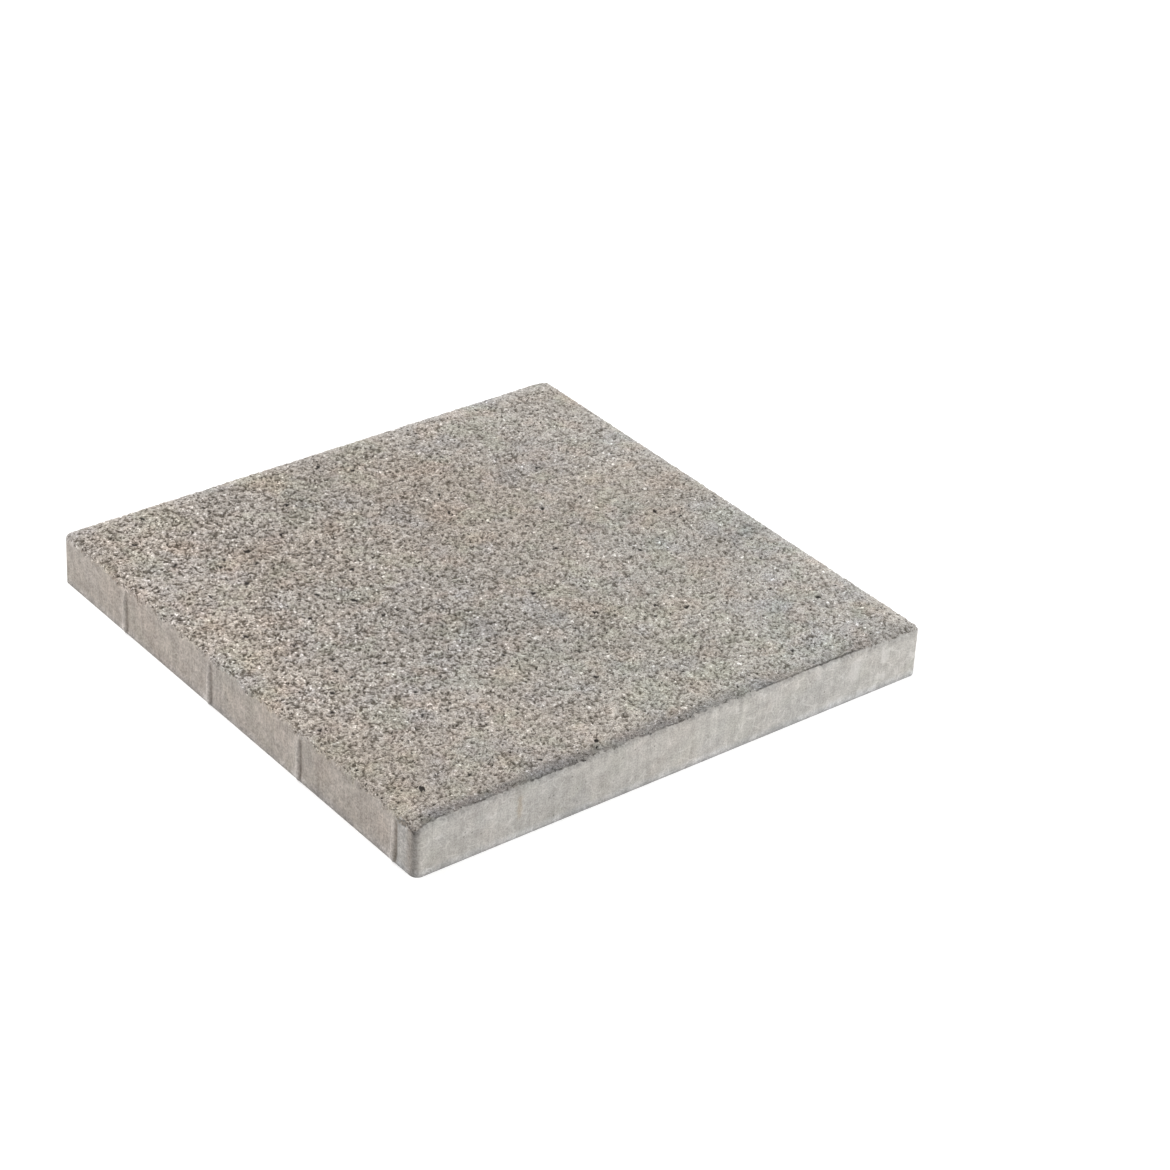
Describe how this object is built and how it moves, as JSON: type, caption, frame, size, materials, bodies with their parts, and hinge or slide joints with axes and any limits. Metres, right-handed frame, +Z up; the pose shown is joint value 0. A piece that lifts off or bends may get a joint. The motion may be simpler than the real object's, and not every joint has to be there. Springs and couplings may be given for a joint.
{
  "type": "concrete paving slab",
  "caption": "Square concrete paving slab with a rough granular walking face, a worn top edge, rounded corners and tapered spacer ribs on two adjoining sides.",
  "frame": {"origin": "centre of the square's box on the bed face, with the spacer ribs included", "axes": "+Z up from the bed face to the walking face; -X and +Y are the sides with spacer ribs"},
  "size_m": [0.45, 0.45, 0.042],
  "materials": {
    "concrete": "rough granular concrete, matt"
  },
  "bodies": {
    "root": {"slab": "concrete"}
  },
  "joints": []
}
